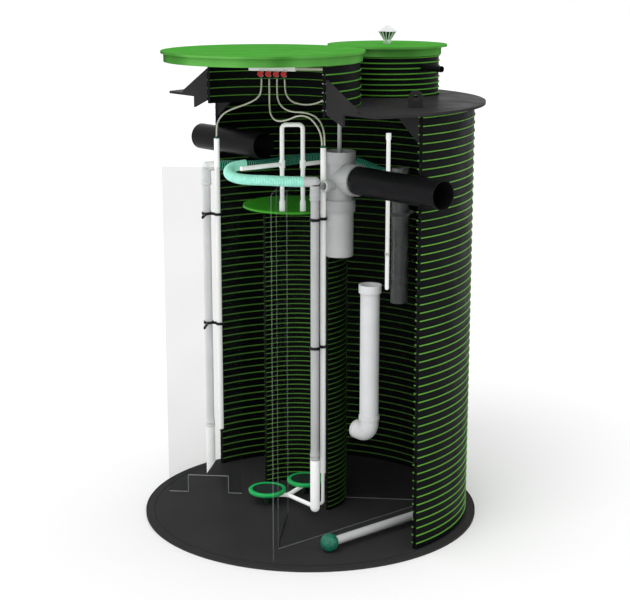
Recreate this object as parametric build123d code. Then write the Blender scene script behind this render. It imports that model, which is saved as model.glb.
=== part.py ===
from build123d import *
import os
from math import atan2, cos, degrees, radians, sin, sqrt, tan

# Packaged sewage treatment plant, shown in half section: the kept half of the tank lies at Y > 0.
# X runs from inlet to outlet, Z up, origin on the axis of the tank under its base. Millimetres.

# Clearance between pieces that fit into or stand against one another
fit_gap = 0.3

# Tank of ribbed pipe
tank_radius = 944.0
tank_wall_thickness = 28.0
tank_height = 2458.0
base_radius = 1005.0
base_thickness = 17.0
disc_radius = 1007.0
disc_thickness = 15.0

# Main riser, cut in line with its own axis, and its lid
main_riser_y = -338.0
main_riser_radius = 543.0
main_riser_wall = 22.0
riser_drop = 30.0
main_riser_pitch = 47.4
main_riser_top_rib = 2724.0
rib_height = 6.0
rib_width = 9.0
lid_underside = 2770.0
lid_flange_thickness = 12.0
main_lid_overhang = 23.0
lid_skirt_depth = 46.0
lid_skirt_wall = 6.0

# Small riser, whole, its lid and its side stub
small_riser_y = 593.0
small_riser_radius = 309.0
small_riser_wall = 17.0
small_riser_pitch = 30.9
small_riser_top_rib = 2717.6
small_lid_overhang = 42.0
stub_radius = 18.0
stub_wall = 3.0
stub_length = 155.0
stub_z = 2658.0

# Vent cap on the small lid
vent_neck_radius = 22.0
vent_neck_height = 14.0
vent_cage_radius = 52.0
vent_cage_height = 38.0
vent_bars = 12
vent_bar_width = 6.0
vent_cone_height = 32.0
vent_rim = 4.0

# Lifting lug and gussets
lug_x = 743.0
lug_y = 134.0
lug_turn = 45.0
lug_width = 80.0
lug_height = 92.0
lug_thickness = 15.0
lug_hole_radius = 16.0
gusset_thickness = 15.0
upper_gusset_length = 255.0
upper_gusset_height = 159.0
lower_gusset_length = 188.0
lower_gusset_height = 158.0
gusset_toe = 13.0

# Inlet, outlet and the outlet tee
main_pipe_radius = 80.0
main_pipe_wall = 5.0
inlet_z = 2175.0
inlet_outer_end = -1097.0
inlet_inner_end = -444.0
outlet_z = 2065.0
outlet_outer_end = 1108.0
tee_x = 265.0
tee_top = 2216.0
tee_bottom = 1871.0
tee_branch_reach = 160.0
socket_depth = 56.0
socket_wall = 11.0
socket_shoulder = 12.0
drop_pipe_bottom = 1612.0
tee_stub_radius = 27.0
tee_stub_offset = 25.0
tee_stub_end = -138.0
tee_stub_z = 2030.0
sampling_pipe_radius = 12.0
sampling_pipe_top = 2433.0

# Inner chamber, its cover and the white pipe frame on the cover
chamber_x = -145.0
chamber_radius = 311.0
chamber_wall = 18.0
chamber_top = 1848.0
cover_radius = 308.0
cover_thickness = 12.0
frame_legs = ((6.0, -213.0), (81.0, -121.0))
frame_pipe_radius = 12.5
frame_top = 2357.0
frame_bend = 24.0
frame_foot_radius = 17.0
frame_foot_height = 60.0
arm_z = 2131.0
arm_length = 292.0

# Clear partitions
sheet_thickness = 6.0
sheet_top = 2070.0
sheet_line = 162.0
sheet_inner_x = (-395.0, 67.0, 79.0)
cross_sheet_x = 439.0
foot_notch_height = 112.0
foot_lengths = (122.0, 85.0)
hose_notch_length = 135.0
hose_notch_depth = 62.0

# Transfer pipe, sludge pipe and level pipe
transfer_radius = 55.0
transfer_wall = 3.2
transfer_x = 535.0
transfer_top = 1486.0
transfer_z = 605.0
transfer_bend = 62.0
collar_height = 46.0
collar_wall = 10.0
sludge_pipe_at = (-88.0, 798.0)
sludge_pipe_radius = 55.0
sludge_pipe_top = 2010.0
sludge_pipe_bottom = 1149.0
sludge_inlet_z = 1960.0
sludge_inlet_reach = 92.0
level_pipe_x = 250.0
level_pipe_radius = 12.0
level_pipe_top = 2286.0
level_pipe_bottom = 1360.0
level_cap_height = 36.0
level_cap_wall = 3.0

# Air lifts: riser pipe, fitting, white foot and the air pipe beside each
lift_radius = 25.0
lift_wall = 2.5
front_lift_at = (246.0, -166.0)
left_lift_at = (-662.0, -276.0)
lift_fitting_z = 2052.0
lift_fitting_radius = 29.0
lift_fitting_length = 62.0
front_fitting_turn = 225.0
left_fitting_turn = 75.0
foot_top = 398.0
foot_radius = 28.0
front_foot_bottom = 75.0
left_foot_bottom = 85.0
left_foot_bevel = 88.0
air_pipe_radius = 16.0
front_air_at = (246.5, -106.2)
front_air_top = 2240.0
front_air_bottom = 305.0
front_air_tail_radius = 10.0
front_air_tail_bottom = 92.0
left_air_at = (-590.0, -245.0)
left_air_top = 2224.0
left_air_bottom = 397.0
clip_heights = (1836.0, 1083.0)
left_clip_heights = (1764.0, 1079.0)
clip_height = 16.0
clip_wall = 6.0
clip_bar = 10.0

# Disc diffusers and their feed
diffuser_at = ((-166.0, -206.0), (-157.0, 87.0))
diffuser_radius = 115.0
diffuser_z = 88.0
diffuser_height = 24.0
membrane_radius = 92.0
membrane_height = 4.0
diffuser_stem_radius = 22.0
feed_radius = 12.5
feed_z = 72.0
feed_tee = (-79.0, -114.0)

# Floor pipe and its ball strainer
strainer_at = (650.0, -392.0)
strainer_radius = 52.0
floor_pipe_radius = 25.0
floor_pipe_end_y = 590.0

# Air manifold on the main riser's inner wall
manifold_turn = 37.5
manifold_shift = -70.0
manifold_z = 2646.0
manifold_length = 284.0
manifold_depth = 28.0
manifold_height = 32.0
valve_count = 4
valve_pitch = 47.5
valve_offset = 4.4
valve_radius = 11.0
valve_drop = 32.0
knob_radius = 17.0
knob_length = 17.0
supply_radius = 10.0
supply_reach = 215.0
connector_radius = 8.0
connector_height = 14.0
hose_radius = 5.0
hose_pair_offset = 7.5

# Ribbed hoses
ribbed_radius = 30.0


base_top = base_thickness
disc_underside = base_top + tank_height
disc_top = disc_underside + disc_thickness
tank_bore = tank_radius - tank_wall_thickness
lid_top = lid_underside + lid_flange_thickness
cover_top = chamber_top + cover_thickness
riser_bottom = disc_underside - riser_drop
tee_socket_radius = main_pipe_radius + socket_wall


def at(shape, x, y, z=0.0):
    """Places a shape that is drawn round the origin."""
    return Pos(x, y, z) * shape


def bar(start, end, radius):
    """Round bar between two points."""
    start = Vector(*start)
    way = Vector(*end) - start
    base = Cylinder(radius, way.length, align=(Align.CENTER, Align.CENTER, Align.MIN))
    return Plane(origin=start, z_dir=way) * base


def pipe(start, end, radius, wall):
    """Open pipe between two points."""
    return bar(start, end, radius) - bar(start, end, radius - wall)


def upright(at_xy, bottom, top, radius, wall):
    """Vertical open pipe."""
    return pipe((*at_xy, bottom), (*at_xy, top), radius, wall)


def box_between(x0, x1, y0, y1, z0, z1):
    """Box from its corner coordinates."""
    return Pos((x0 + x1) / 2, (y0 + y1) / 2, (z0 + z1) / 2) * Box(x1 - x0, y1 - y0, z1 - z0)


def turned_profile(points, arc=360.0):
    """Solid of revolution about Z from (radius, z) points, starting at +X."""
    face = make_face(Polyline(*[(r, 0, z) for r, z in points], close=True))
    return revolve(face, axis=Axis.Z, revolution_arc=arc)


def ribbed_pipe(root_radius, wall, bottom, top, top_rib, pitch, arc=360.0):
    """Pipe with evenly spaced ribs of trapezium section round its outside."""
    points = [(root_radius - wall, bottom), (root_radius - wall, top), (root_radius, top)]
    ribs = int((top_rib - bottom - rib_width) // pitch) + 1
    for i in range(ribs):
        z = top_rib - i * pitch
        points += [
            (root_radius, z + rib_width / 2),
            (root_radius + rib_height, z + rib_width / 4),
            (root_radius + rib_height, z - rib_width / 4),
            (root_radius, z - rib_width / 2),
        ]
    points.append((root_radius, bottom))
    return turned_profile(points, arc)


def lid(riser_crest, overhang):
    """Flat lid whose skirt hangs over the riser's ribs."""
    skirt_bore = riser_crest + 1.0
    skirt = skirt_bore + lid_skirt_wall
    return turned_profile([
        (0, lid_underside),
        (skirt_bore, lid_underside),
        (skirt_bore, lid_underside - lid_skirt_depth),
        (skirt, lid_underside - lid_skirt_depth),
        (skirt, lid_underside),
        (riser_crest + overhang, lid_underside),
        (riser_crest + overhang, lid_top),
        (0, lid_top),
    ])


def corner_arcs(points):
    """Radius for each corner of a hose's route, as large as its two runs allow."""
    radii = []
    for a, b, c in zip(points, points[1:], points[2:]):
        back = Vector(*b) - Vector(*a)
        ahead = Vector(*c) - Vector(*b)
        half_turn = radians(back.get_angle(ahead)) / 2
        radii.append(0.45 * min(back.length, ahead.length) / tan(half_turn))
    return radii


def hose(points, radius, name):
    """Solid hose of straight runs and tangent arcs along a route."""
    radii = corner_arcs(points)
    path = FilletPolyline(*points, radius=radii)
    solid = sweep((path ^ 0) * Circle(radius), path=path)
    share = solid.volume / (path.length * radius**2 * 3.14159265)
    print(name, "length", round(path.length), "volume share", round(share, 4))
    print(name, "arc radii", [round(r) for r in radii])
    return solid


def gusset(heel_x, heel_z, length, height, front_y, side, up):
    """Triangular plate with a short toe, its heel against a wall and its back face up to a plane."""
    out = side * length
    rise = up * height
    toe = up * gusset_toe
    corners = [(heel_x, heel_z), (heel_x + out, heel_z), (heel_x + out, heel_z + toe), (heel_x, heel_z + rise)]
    face = make_face(Polyline(*[(x, front_y, z) for x, z in corners], close=True))
    return extrude(face, amount=gusset_thickness, dir=(0, 1, 0))


# Base, tank wall and top disc
base_plate = Cylinder(base_radius, base_thickness, align=(Align.CENTER, Align.CENTER, Align.MIN))

wall_profile = [
    (tank_bore, base_top),
    (tank_bore, disc_underside),
    (tank_radius, disc_underside),
    (tank_radius, base_top),
]
inlet_cutter = bar(
    (inlet_outer_end, 0, inlet_z), (inlet_inner_end, 0, inlet_z), main_pipe_radius + fit_gap)
outlet_cutter = bar((tee_x, 0, outlet_z), (outlet_outer_end, 0, outlet_z), main_pipe_radius + fit_gap)
tank_wall = turned_profile(wall_profile, 180) - inlet_cutter - outlet_cutter

riser_crest = main_riser_radius + rib_height
small_crest = small_riser_radius + rib_height
riser_height = lid_underside - riser_bottom
disc_blank = at(
    Cylinder(disc_radius, disc_thickness, align=(Align.CENTER, Align.CENTER, Align.MIN)),
    0, 0, disc_underside)
disc_front = box_between(
    -disc_radius, disc_radius, -disc_radius, main_riser_y, disc_underside, disc_top)
main_opening = bar((0, main_riser_y, riser_bottom), (0, main_riser_y, lid_underside), riser_crest + fit_gap)
small_opening = bar(
    (0, small_riser_y, riser_bottom), (0, small_riser_y, lid_underside), small_crest + fit_gap)
top_disc = disc_blank - disc_front - main_opening - small_opening

# Risers and lids
main_riser = at(
    ribbed_pipe(
        main_riser_radius, main_riser_wall, riser_bottom, lid_underside, main_riser_top_rib,
        main_riser_pitch, 180),
    0, main_riser_y)
small_riser = at(
    ribbed_pipe(
        small_riser_radius, small_riser_wall, riser_bottom, lid_underside, small_riser_top_rib,
        small_riser_pitch),
    0, small_riser_y)
main_lid = at(lid(riser_crest, main_lid_overhang), 0, main_riser_y)
small_lid = at(lid(small_crest, small_lid_overhang), 0, small_riser_y)

# Stub on the small riser's side, through its wall
stub_start = sqrt((small_riser_radius - small_riser_wall) ** 2 - stub_radius**2)
stub_ends = ((stub_start, small_riser_y, stub_z), (small_crest + stub_length, small_riser_y, stub_z))
riser_stub = pipe(*stub_ends, stub_radius, stub_wall)
small_riser -= bar(*stub_ends, stub_radius + fit_gap)

# Vent cap: neck and slotted cage that widens upwards, and a cone on top
cage_bottom = lid_top + vent_neck_height
cage_top = cage_bottom + vent_cage_height
cage = turned_profile([
    (0, lid_top),
    (vent_neck_radius, lid_top),
    (vent_neck_radius, cage_bottom),
    (vent_cage_radius, cage_top - vent_rim),
    (vent_cage_radius, cage_top),
    (0, cage_top),
])
cage_hollow = turned_profile([
    (0, cage_bottom),
    (vent_neck_radius - vent_rim, cage_bottom),
    (vent_cage_radius - vent_rim, cage_top - vent_rim),
    (0, cage_top - vent_rim),
])
slot_bottom = cage_bottom + vent_rim
slot_top = cage_top - 2 * vent_rim
slots = Pos(0, 0, (slot_bottom + slot_top) / 2) * Cylinder(2 * vent_cage_radius, slot_top - slot_bottom)
for i in range(vent_bars):
    spoke = Pos(vent_cage_radius * 1.2, 0, (slot_bottom + slot_top) / 2) * Box(
        2 * vent_cage_radius, vent_bar_width, slot_top - slot_bottom + 2)
    slots -= Rot(0, 0, i * 360 / vent_bars) * spoke
vent_cage = at(cage - cage_hollow - slots, 0, small_riser_y)
vent_cone = at(
    turned_profile([
        (0, cage_top),
        (vent_cage_radius - vent_rim, cage_top),
        (vent_cage_radius - vent_rim, cage_top + vent_rim),
        (vent_rim, cage_top + vent_cone_height),
        (0, cage_top + vent_cone_height),
    ]),
    0, small_riser_y)

# Lifting lug with a rounded head, standing on the disc
lug_head_z = lug_height - lug_width / 2
lug_plate = box_between(
    -lug_width / 2, lug_width / 2, -lug_thickness / 2, lug_thickness / 2, 0, lug_head_z)
lug_plate += Pos(0, 0, lug_head_z) * Rot(90, 0, 0) * Cylinder(lug_width / 2, lug_thickness)
lug_plate -= Pos(0, 0, lug_head_z) * Rot(90, 0, 0) * Cylinder(lug_hole_radius, lug_thickness * 2)
lifting_lug = Pos(lug_x, lug_y, disc_top) * Rot(0, 0, lug_turn) * lug_plate

# Gussets: above the disc against the riser's ribs, below it against the tank's bore
upper_heel = riser_crest + fit_gap
lower_heel = sqrt(tank_bore**2 - gusset_thickness**2) - fit_gap
gussets = [
    gusset(side * upper_heel, disc_top, upper_gusset_length, upper_gusset_height, main_riser_y, side, 1)
    for side in (-1, 1)
]
gussets += [
    gusset(side * lower_heel, disc_underside, lower_gusset_length, lower_gusset_height, 0, -side, -1)
    for side in (-1, 1)
]

# Inlet and outlet pipes
inlet_pipe = pipe(
    (inlet_outer_end, 0, inlet_z), (inlet_inner_end, 0, inlet_z), main_pipe_radius, main_pipe_wall)
branch_end = tee_x + tee_branch_reach
outlet_pipe = pipe(
    (branch_end - socket_depth + fit_gap, 0, outlet_z), (outlet_outer_end, 0, outlet_z),
    main_pipe_radius, main_pipe_wall)

# Outlet tee with its three sockets and the small side stub
tee_axis = (tee_x, 0)
tee_body = bar((*tee_axis, tee_bottom), (*tee_axis, tee_top), main_pipe_radius)
socket_reach = socket_depth + socket_shoulder
tee_body += bar((*tee_axis, tee_top - socket_reach), (*tee_axis, tee_top), tee_socket_radius)
tee_body += bar((*tee_axis, tee_bottom), (*tee_axis, tee_bottom + socket_reach), tee_socket_radius)
tee_body += bar((*tee_axis, outlet_z), (branch_end, 0, outlet_z), main_pipe_radius)
tee_body += bar((branch_end - socket_reach, 0, outlet_z), (branch_end, 0, outlet_z), tee_socket_radius)
stub_x = tee_x + tee_stub_offset
tee_body += bar((stub_x, 0, tee_stub_z), (stub_x, tee_stub_end, tee_stub_z), tee_stub_radius)
tee_bore = main_pipe_radius - main_pipe_wall
seat_bore = main_pipe_radius + fit_gap
tee_body -= bar((*tee_axis, tee_bottom), (*tee_axis, tee_top), tee_bore)
tee_body -= bar((*tee_axis, outlet_z), (branch_end, 0, outlet_z), tee_bore)
tee_body -= bar((*tee_axis, tee_bottom), (*tee_axis, tee_bottom + socket_depth), seat_bore)
tee_body -= bar((*tee_axis, tee_top - socket_depth), (*tee_axis, tee_top), seat_bore)
tee_body -= bar((branch_end - socket_depth, 0, outlet_z), (branch_end, 0, outlet_z), seat_bore)
tee_body -= bar((stub_x, 0, tee_stub_z), (stub_x, tee_stub_end, tee_stub_z), tee_stub_radius - main_pipe_wall)
outlet_tee = tee_body
drop_pipe = upright(
    tee_axis, drop_pipe_bottom, tee_bottom + socket_depth - fit_gap, main_pipe_radius, main_pipe_wall)

# Pipe that stands against the far side of the tee's bore, on a ledge of the drop pipe's wall
sampling_reach = tee_bore - sampling_pipe_radius - fit_gap
sampling_at = (tee_x - sampling_reach * 0.773, sampling_reach * 0.634)
sampling_pipe = upright(sampling_at, drop_pipe_bottom, sampling_pipe_top, sampling_pipe_radius, 2.0)

# Inner chamber, kept half, and its whole round cover
inner_chamber = at(
    turned_profile(
        [
            (chamber_radius - chamber_wall, base_top),
            (chamber_radius - chamber_wall, chamber_top),
            (chamber_radius, chamber_top),
            (chamber_radius, base_top),
        ],
        180),
    chamber_x, 0)
chamber_cover = at(
    Cylinder(cover_radius, cover_thickness, align=(Align.CENTER, Align.CENTER, Align.MIN)),
    chamber_x, 0, chamber_top)

# White pipe frame on the cover: two legs, a top bar with rounded corners, sockets and two arms
leg_a, leg_b = frame_legs
frame_path = FilletPolyline(
    (*leg_a, cover_top), (*leg_a, frame_top), (*leg_b, frame_top), (*leg_b, cover_top), radius=frame_bend)
cover_frame = sweep((frame_path ^ 0) * Circle(frame_pipe_radius), path=frame_path)
for leg in frame_legs:
    cover_frame += bar((*leg, cover_top), (*leg, cover_top + frame_foot_height), frame_foot_radius)
    cover_frame += bar((*leg, arm_z - 22), (*leg, arm_z + 22), frame_foot_radius)
cover_frame += bar((*leg_a, arm_z), (leg_a[0], leg_a[1] - arm_length, arm_z), frame_pipe_radius)
cover_frame += bar((*leg_b, arm_z), (leg_b[0], leg_b[1] + arm_length, arm_z), frame_pipe_radius)


def sheet(inner_x, slope, side, notches):
    """Clear upright sheet on a radial line of the inner chamber, out to the tank's bore."""
    reach = tank_bore - fit_gap
    half = sheet_line / 2
    root = sqrt(reach**2 / 2 - half**2)
    outer_x = -half + side * root - side * 4
    if slope > 0:
        inner = Vector(inner_x, inner_x + sheet_line)
        outer = Vector(outer_x, outer_x + sheet_line)
    else:
        inner = Vector(inner_x, -inner_x - sheet_line)
        outer = Vector(outer_x, -outer_x - sheet_line)
    length = (outer - inner).length
    turn = degrees(atan2(outer.Y - inner.Y, outer.X - inner.X))
    blank = box_between(0, length, -sheet_thickness / 2, sheet_thickness / 2, base_top, sheet_top)
    for x0, x1, z0, z1 in notches(length):
        blank -= box_between(x0, x1, -sheet_thickness, sheet_thickness, z0, z1)
    return Pos(inner.X, inner.Y) * Rot(0, 0, turn) * blank


slot_half = sheet_thickness * 1.3
lap_height = (base_top + sheet_top) / 2


def foot_notch(length):
    """Opening along the lower edge between the sheet's two feet."""
    return [(foot_lengths[1], length - foot_lengths[0], base_top, base_top + foot_notch_height)]


def hose_notch(length):
    """Cut-out at the inner top corner where the ribbed hose passes."""
    return [(0, hose_notch_length, sheet_top - hose_notch_depth - 20, sheet_top)]


def lap_slot(length):
    """Slot up to half height where the cross sheet passes."""
    middle = (cross_sheet_x - sheet_inner_x[2]) * sqrt(2)
    return [(middle - slot_half, middle + slot_half, base_top, lap_height + fit_gap)]


front_left_sheet = sheet(sheet_inner_x[0], 1, -1, foot_notch)
front_right_sheet = sheet(sheet_inner_x[1], -1, 1, hose_notch)
back_right_sheet = sheet(sheet_inner_x[2], 1, 1, lap_slot)

# Cross sheet from the front right sheet to the tank's bore, half-lapped with the back right sheet
cross_back_y = sqrt(tank_bore**2 - (cross_sheet_x + sheet_thickness) ** 2) - fit_gap
cross_front_y = -cross_sheet_x - sheet_line + sheet_thickness * 1.3
cross_sheet = box_between(
    cross_sheet_x - sheet_thickness / 2, cross_sheet_x + sheet_thickness / 2,
    cross_front_y, cross_back_y, base_top, sheet_top)
cross_y = cross_sheet_x + sheet_line
cross_sheet -= box_between(
    cross_sheet_x - sheet_thickness, cross_sheet_x + sheet_thickness,
    cross_y - slot_half, cross_y + slot_half, lap_height, sheet_top)
cross_sheet -= bar(
    (cross_sheet_x - 20, 0, transfer_z), (cross_sheet_x + 20, 0, transfer_z), transfer_radius + fit_gap)
cross_sheet -= bar(
    (cross_sheet_x - 20, 0, outlet_z), (cross_sheet_x + 20, 0, outlet_z), main_pipe_radius + fit_gap)

# Transfer pipe with its top collar, and the elbow whose mouth passes through the cross sheet
transfer_seat = transfer_z + transfer_bend + collar_height
transfer_pipe = bar((transfer_x, 0, transfer_seat), (transfer_x, 0, transfer_top), transfer_radius)
transfer_pipe += bar(
    (transfer_x, 0, transfer_top - collar_height), (transfer_x, 0, transfer_top),
    transfer_radius + collar_wall)
transfer_pipe -= bar(
    (transfer_x, 0, transfer_seat), (transfer_x, 0, transfer_top), transfer_radius - transfer_wall)
elbow_path = FilletPolyline(
    (transfer_x, 0, transfer_seat), (transfer_x, 0, transfer_z), (cross_sheet_x - 14, 0, transfer_z),
    radius=transfer_bend)
elbow_solid = sweep((elbow_path ^ 0) * Circle(transfer_radius), path=elbow_path)
elbow_solid += bar(
    (transfer_x, 0, transfer_seat - 22), (transfer_x, 0, transfer_seat), transfer_radius + collar_wall / 2)
elbow_bore = sweep((elbow_path ^ 0) * Circle(transfer_radius - transfer_wall), path=elbow_path)
transfer_elbow = elbow_solid - elbow_bore

# Sludge pipe near the back wall with its side inlet and the bracket that holds it off the wall
sludge_solid = bar((*sludge_pipe_at, sludge_pipe_bottom), (*sludge_pipe_at, sludge_pipe_top), sludge_pipe_radius)
sludge_side = (sludge_pipe_at[0] - sludge_inlet_reach, sludge_pipe_at[1], sludge_inlet_z)
sludge_solid += bar((*sludge_pipe_at, sludge_inlet_z), sludge_side, ribbed_radius)
sludge_pipe = sludge_solid - bar(
    (*sludge_pipe_at, sludge_pipe_bottom), (*sludge_pipe_at, sludge_pipe_top),
    sludge_pipe_radius - transfer_wall)
sludge_pipe -= bar(
    (*sludge_pipe_at, sludge_inlet_z), sludge_side, ribbed_radius - transfer_wall)

# Capped level pipe clipped to the back right sheet
level_cap_radius = level_pipe_radius + level_cap_wall
level_stand_off = sheet_thickness / 2 + level_cap_radius + fit_gap
level_pipe_at = (level_pipe_x, level_pipe_x + sheet_line - level_stand_off * sqrt(2))
level_pipe = bar((*level_pipe_at, level_pipe_bottom), (*level_pipe_at, level_pipe_top), level_pipe_radius)
level_pipe += Pos(*level_pipe_at, level_pipe_bottom) * Sphere(level_pipe_radius)
level_pipe += bar(
    (*level_pipe_at, level_pipe_top - level_cap_height), (*level_pipe_at, level_pipe_top),
    level_cap_radius)


def toward(start, turn, reach, z):
    """Point at a distance from a plan position in a given direction."""
    return (start[0] + reach * cos(radians(turn)), start[1] + reach * sin(radians(turn)), z)


def lift_fitting(at_xy, turn):
    """Fitting on top of an air lift: round body with a mouth for the hose."""
    mouth = toward(at_xy, turn, lift_fitting_length, lift_fitting_z)
    body = bar(
        (*at_xy, lift_fitting_z - lift_fitting_radius - 30), (*at_xy, lift_fitting_z), lift_fitting_radius - 4)
    body += Pos(*at_xy, lift_fitting_z) * Sphere(lift_fitting_radius)
    body += bar((*at_xy, lift_fitting_z), mouth, lift_fitting_radius)
    body -= bar((*at_xy, lift_fitting_z), mouth, lift_radius)
    socket = (*at_xy, lift_fitting_z - lift_fitting_radius - 30)
    return body - bar(socket, (*at_xy, lift_fitting_z), lift_radius + fit_gap)


lift_top = lift_fitting_z - lift_fitting_radius
front_lift_pipe = upright(front_lift_at, foot_top, lift_top, lift_radius, lift_wall)
left_lift_pipe = upright(left_lift_at, foot_top, lift_top, lift_radius, lift_wall)
front_lift_fitting = lift_fitting(front_lift_at, front_fitting_turn)
left_lift_fitting = lift_fitting(left_lift_at, left_fitting_turn)

# White feet: the front one is closed and rounded, the left one is cut at a slant
front_lift_foot = bar((*front_lift_at, front_foot_bottom + foot_radius), (*front_lift_at, foot_top), foot_radius)
front_lift_foot += Pos(*front_lift_at, front_foot_bottom + foot_radius) * Sphere(foot_radius)
left_lift_foot = upright(left_lift_at, left_foot_bottom, foot_top, foot_radius, lift_wall)
bevel = make_face(Polyline(
    (-foot_radius, 0, left_foot_bottom), (foot_radius, 0, left_foot_bottom),
    (foot_radius, 0, left_foot_bottom + left_foot_bevel), close=True))
bevel_cutter = extrude(bevel, amount=2 * foot_radius, dir=(0, 1, 0), both=True)
left_lift_foot -= Pos(*left_lift_at) * Rot(0, 0, manifold_turn) * bevel_cutter

# Air pipes beside the lifts; the front one steps down and turns into its lift's foot
front_air_pipe = bar((*front_air_at, front_air_bottom), (*front_air_at, front_air_top), air_pipe_radius)
air_side = Vector(front_lift_at[0] - front_air_at[0], front_lift_at[1] - front_air_at[1]).normalized()
tail_reach = sqrt(
    (front_lift_at[0] - front_air_at[0]) ** 2 + (front_lift_at[1] - front_air_at[1]) ** 2) - foot_radius
tail_end_z = front_air_tail_bottom + 25
tail_path = FilletPolyline(
    (*front_air_at, front_air_bottom), (*front_air_at, tail_end_z),
    (front_air_at[0] + air_side.X * (tail_reach - fit_gap),
     front_air_at[1] + air_side.Y * (tail_reach - fit_gap), tail_end_z),
    radius=14)
front_air_pipe += sweep((tail_path ^ 0) * Circle(front_air_tail_radius), path=tail_path)
left_air_pipe = bar((*left_air_at, left_air_bottom), (*left_air_at, left_air_top), air_pipe_radius)


def clip(lift_at, air_at, seat, z):
    """Collars round a lift and its air pipe on one bar that reaches its seat."""
    low = z - clip_height / 2
    high = z + clip_height / 2
    solid = bar((*lift_at, low), (*lift_at, high), lift_radius + clip_wall)
    solid += bar((*air_at, low), (*air_at, high), air_pipe_radius + clip_wall)
    for start, end in ((lift_at, air_at), (lift_at, seat)):
        length = sqrt((end[0] - start[0]) ** 2 + (end[1] - start[1]) ** 2)
        turn = degrees(atan2(end[1] - start[1], end[0] - start[0]))
        solid += Pos(*start) * Rot(0, 0, turn) * box_between(0, length, -clip_bar / 2, clip_bar / 2, low, high)
    solid -= bar((*lift_at, low), (*lift_at, high), lift_radius + fit_gap)
    return solid - bar((*air_at, low), (*air_at, high), air_pipe_radius + fit_gap)


chamber_seat = (chamber_x + chamber_radius - chamber_wall / 2, -fit_gap - clip_bar * 0.27)
sheet_gap = (left_lift_at[1] - left_lift_at[0] - sheet_line) / 2
left_reach = sheet_gap - (sheet_thickness / 2 + fit_gap) / sqrt(2)
left_seat = (left_lift_at[0] + left_reach, left_lift_at[1] - left_reach)
front_lift_clips = [clip(front_lift_at, front_air_at, chamber_seat, z) for z in clip_heights]
left_lift_clips = [clip(left_lift_at, left_air_at, left_seat, z) for z in left_clip_heights]

# Bracket from the sludge pipe to the tank's bore, and clip of the level pipe on its sheet
bracket_z = sludge_pipe_top - 300
sludge_angle = degrees(atan2(sludge_pipe_at[1], sludge_pipe_at[0]))
sludge_out = sqrt(sludge_pipe_at[0] ** 2 + sludge_pipe_at[1] ** 2)
bracket = bar((*sludge_pipe_at, bracket_z), (*sludge_pipe_at, bracket_z + clip_height), sludge_pipe_radius + clip_wall)
bracket += Rot(0, 0, sludge_angle) * box_between(
    sludge_out, tank_bore - fit_gap, -clip_bar, clip_bar, bracket_z, bracket_z + clip_height)
bracket -= bar(
    (*sludge_pipe_at, bracket_z), (*sludge_pipe_at, bracket_z + clip_height), sludge_pipe_radius + fit_gap)
level_collar = level_cap_radius - fit_gap
level_clips = []
for z in (1560.0, 1900.0):
    piece = bar((*level_pipe_at, z), (*level_pipe_at, z + clip_height), level_collar)
    piece += Pos(*level_pipe_at) * Rot(0, 0, 135) * box_between(
        0, level_cap_radius, -clip_bar / 2, clip_bar / 2, z, z + clip_height)
    piece -= bar((*level_pipe_at, z), (*level_pipe_at, z + clip_height), level_pipe_radius + fit_gap)
    level_clips.append(piece)
back_clips = [bracket] + level_clips

# Disc diffusers on stems, with a dark membrane in each ring, and their feed pipe
diffusers = []
membranes = []
for spot in diffuser_at:
    body = at(
        turned_profile([
            (0, diffuser_z),
            (diffuser_radius - 8, diffuser_z),
            (diffuser_radius, diffuser_z + 8),
            (diffuser_radius, diffuser_z + diffuser_height - 4),
            (diffuser_radius - 4, diffuser_z + diffuser_height),
            (membrane_radius + fit_gap, diffuser_z + diffuser_height),
            (membrane_radius + fit_gap, diffuser_z + diffuser_height - 2 * membrane_height),
            (0, diffuser_z + diffuser_height - 2 * membrane_height),
        ]),
        *spot)
    body += bar((*spot, base_top), (*spot, diffuser_z), diffuser_stem_radius)
    diffusers.append(body)
    top = diffuser_z + diffuser_height - 2 * membrane_height
    membranes.append(bar((*spot, top), (*spot, top + membrane_height), membrane_radius))

foot_side = toward(front_lift_at, degrees(atan2(feed_tee[1] - front_lift_at[1], feed_tee[0] - front_lift_at[0])),
                   foot_radius + fit_gap, front_foot_bottom + foot_radius)
diffuser_feed = bar(foot_side, (*feed_tee, feed_z), feed_radius)
diffuser_feed += Pos(*feed_tee, feed_z) * Sphere(feed_radius + 3)
for spot in diffuser_at:
    away = degrees(atan2(feed_tee[1] - spot[1], feed_tee[0] - spot[0]))
    diffuser_feed += bar((*feed_tee, feed_z), toward(spot, away, 0, feed_z), feed_radius)
    diffuser_feed -= bar((*spot, base_top), (*spot, diffuser_z), diffuser_stem_radius + fit_gap)
diffuser_feed = sorted(diffuser_feed.solids(), key=lambda s: s.volume)[-1]

# Floor pipe with a ball strainer on its end
floor_z = base_top + strainer_radius
strainer = Pos(*strainer_at, floor_z) * Sphere(strainer_radius)
socket_start = (strainer_at[0], strainer_at[1] + strainer_radius * 0.5, floor_z)
pipe_end = (strainer_at[0], floor_pipe_end_y, floor_z)
strainer -= bar(socket_start, pipe_end, floor_pipe_radius + fit_gap)
floor_pipe = pipe((*socket_start[:1], socket_start[1] + fit_gap, floor_z), pipe_end, floor_pipe_radius, lift_wall)
saddle = box_between(
    strainer_at[0] - 20, strainer_at[0] + 20, floor_pipe_end_y - 60, floor_pipe_end_y - 30,
    base_top, floor_z)
saddle -= bar(socket_start, pipe_end, floor_pipe_radius + fit_gap)

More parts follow.
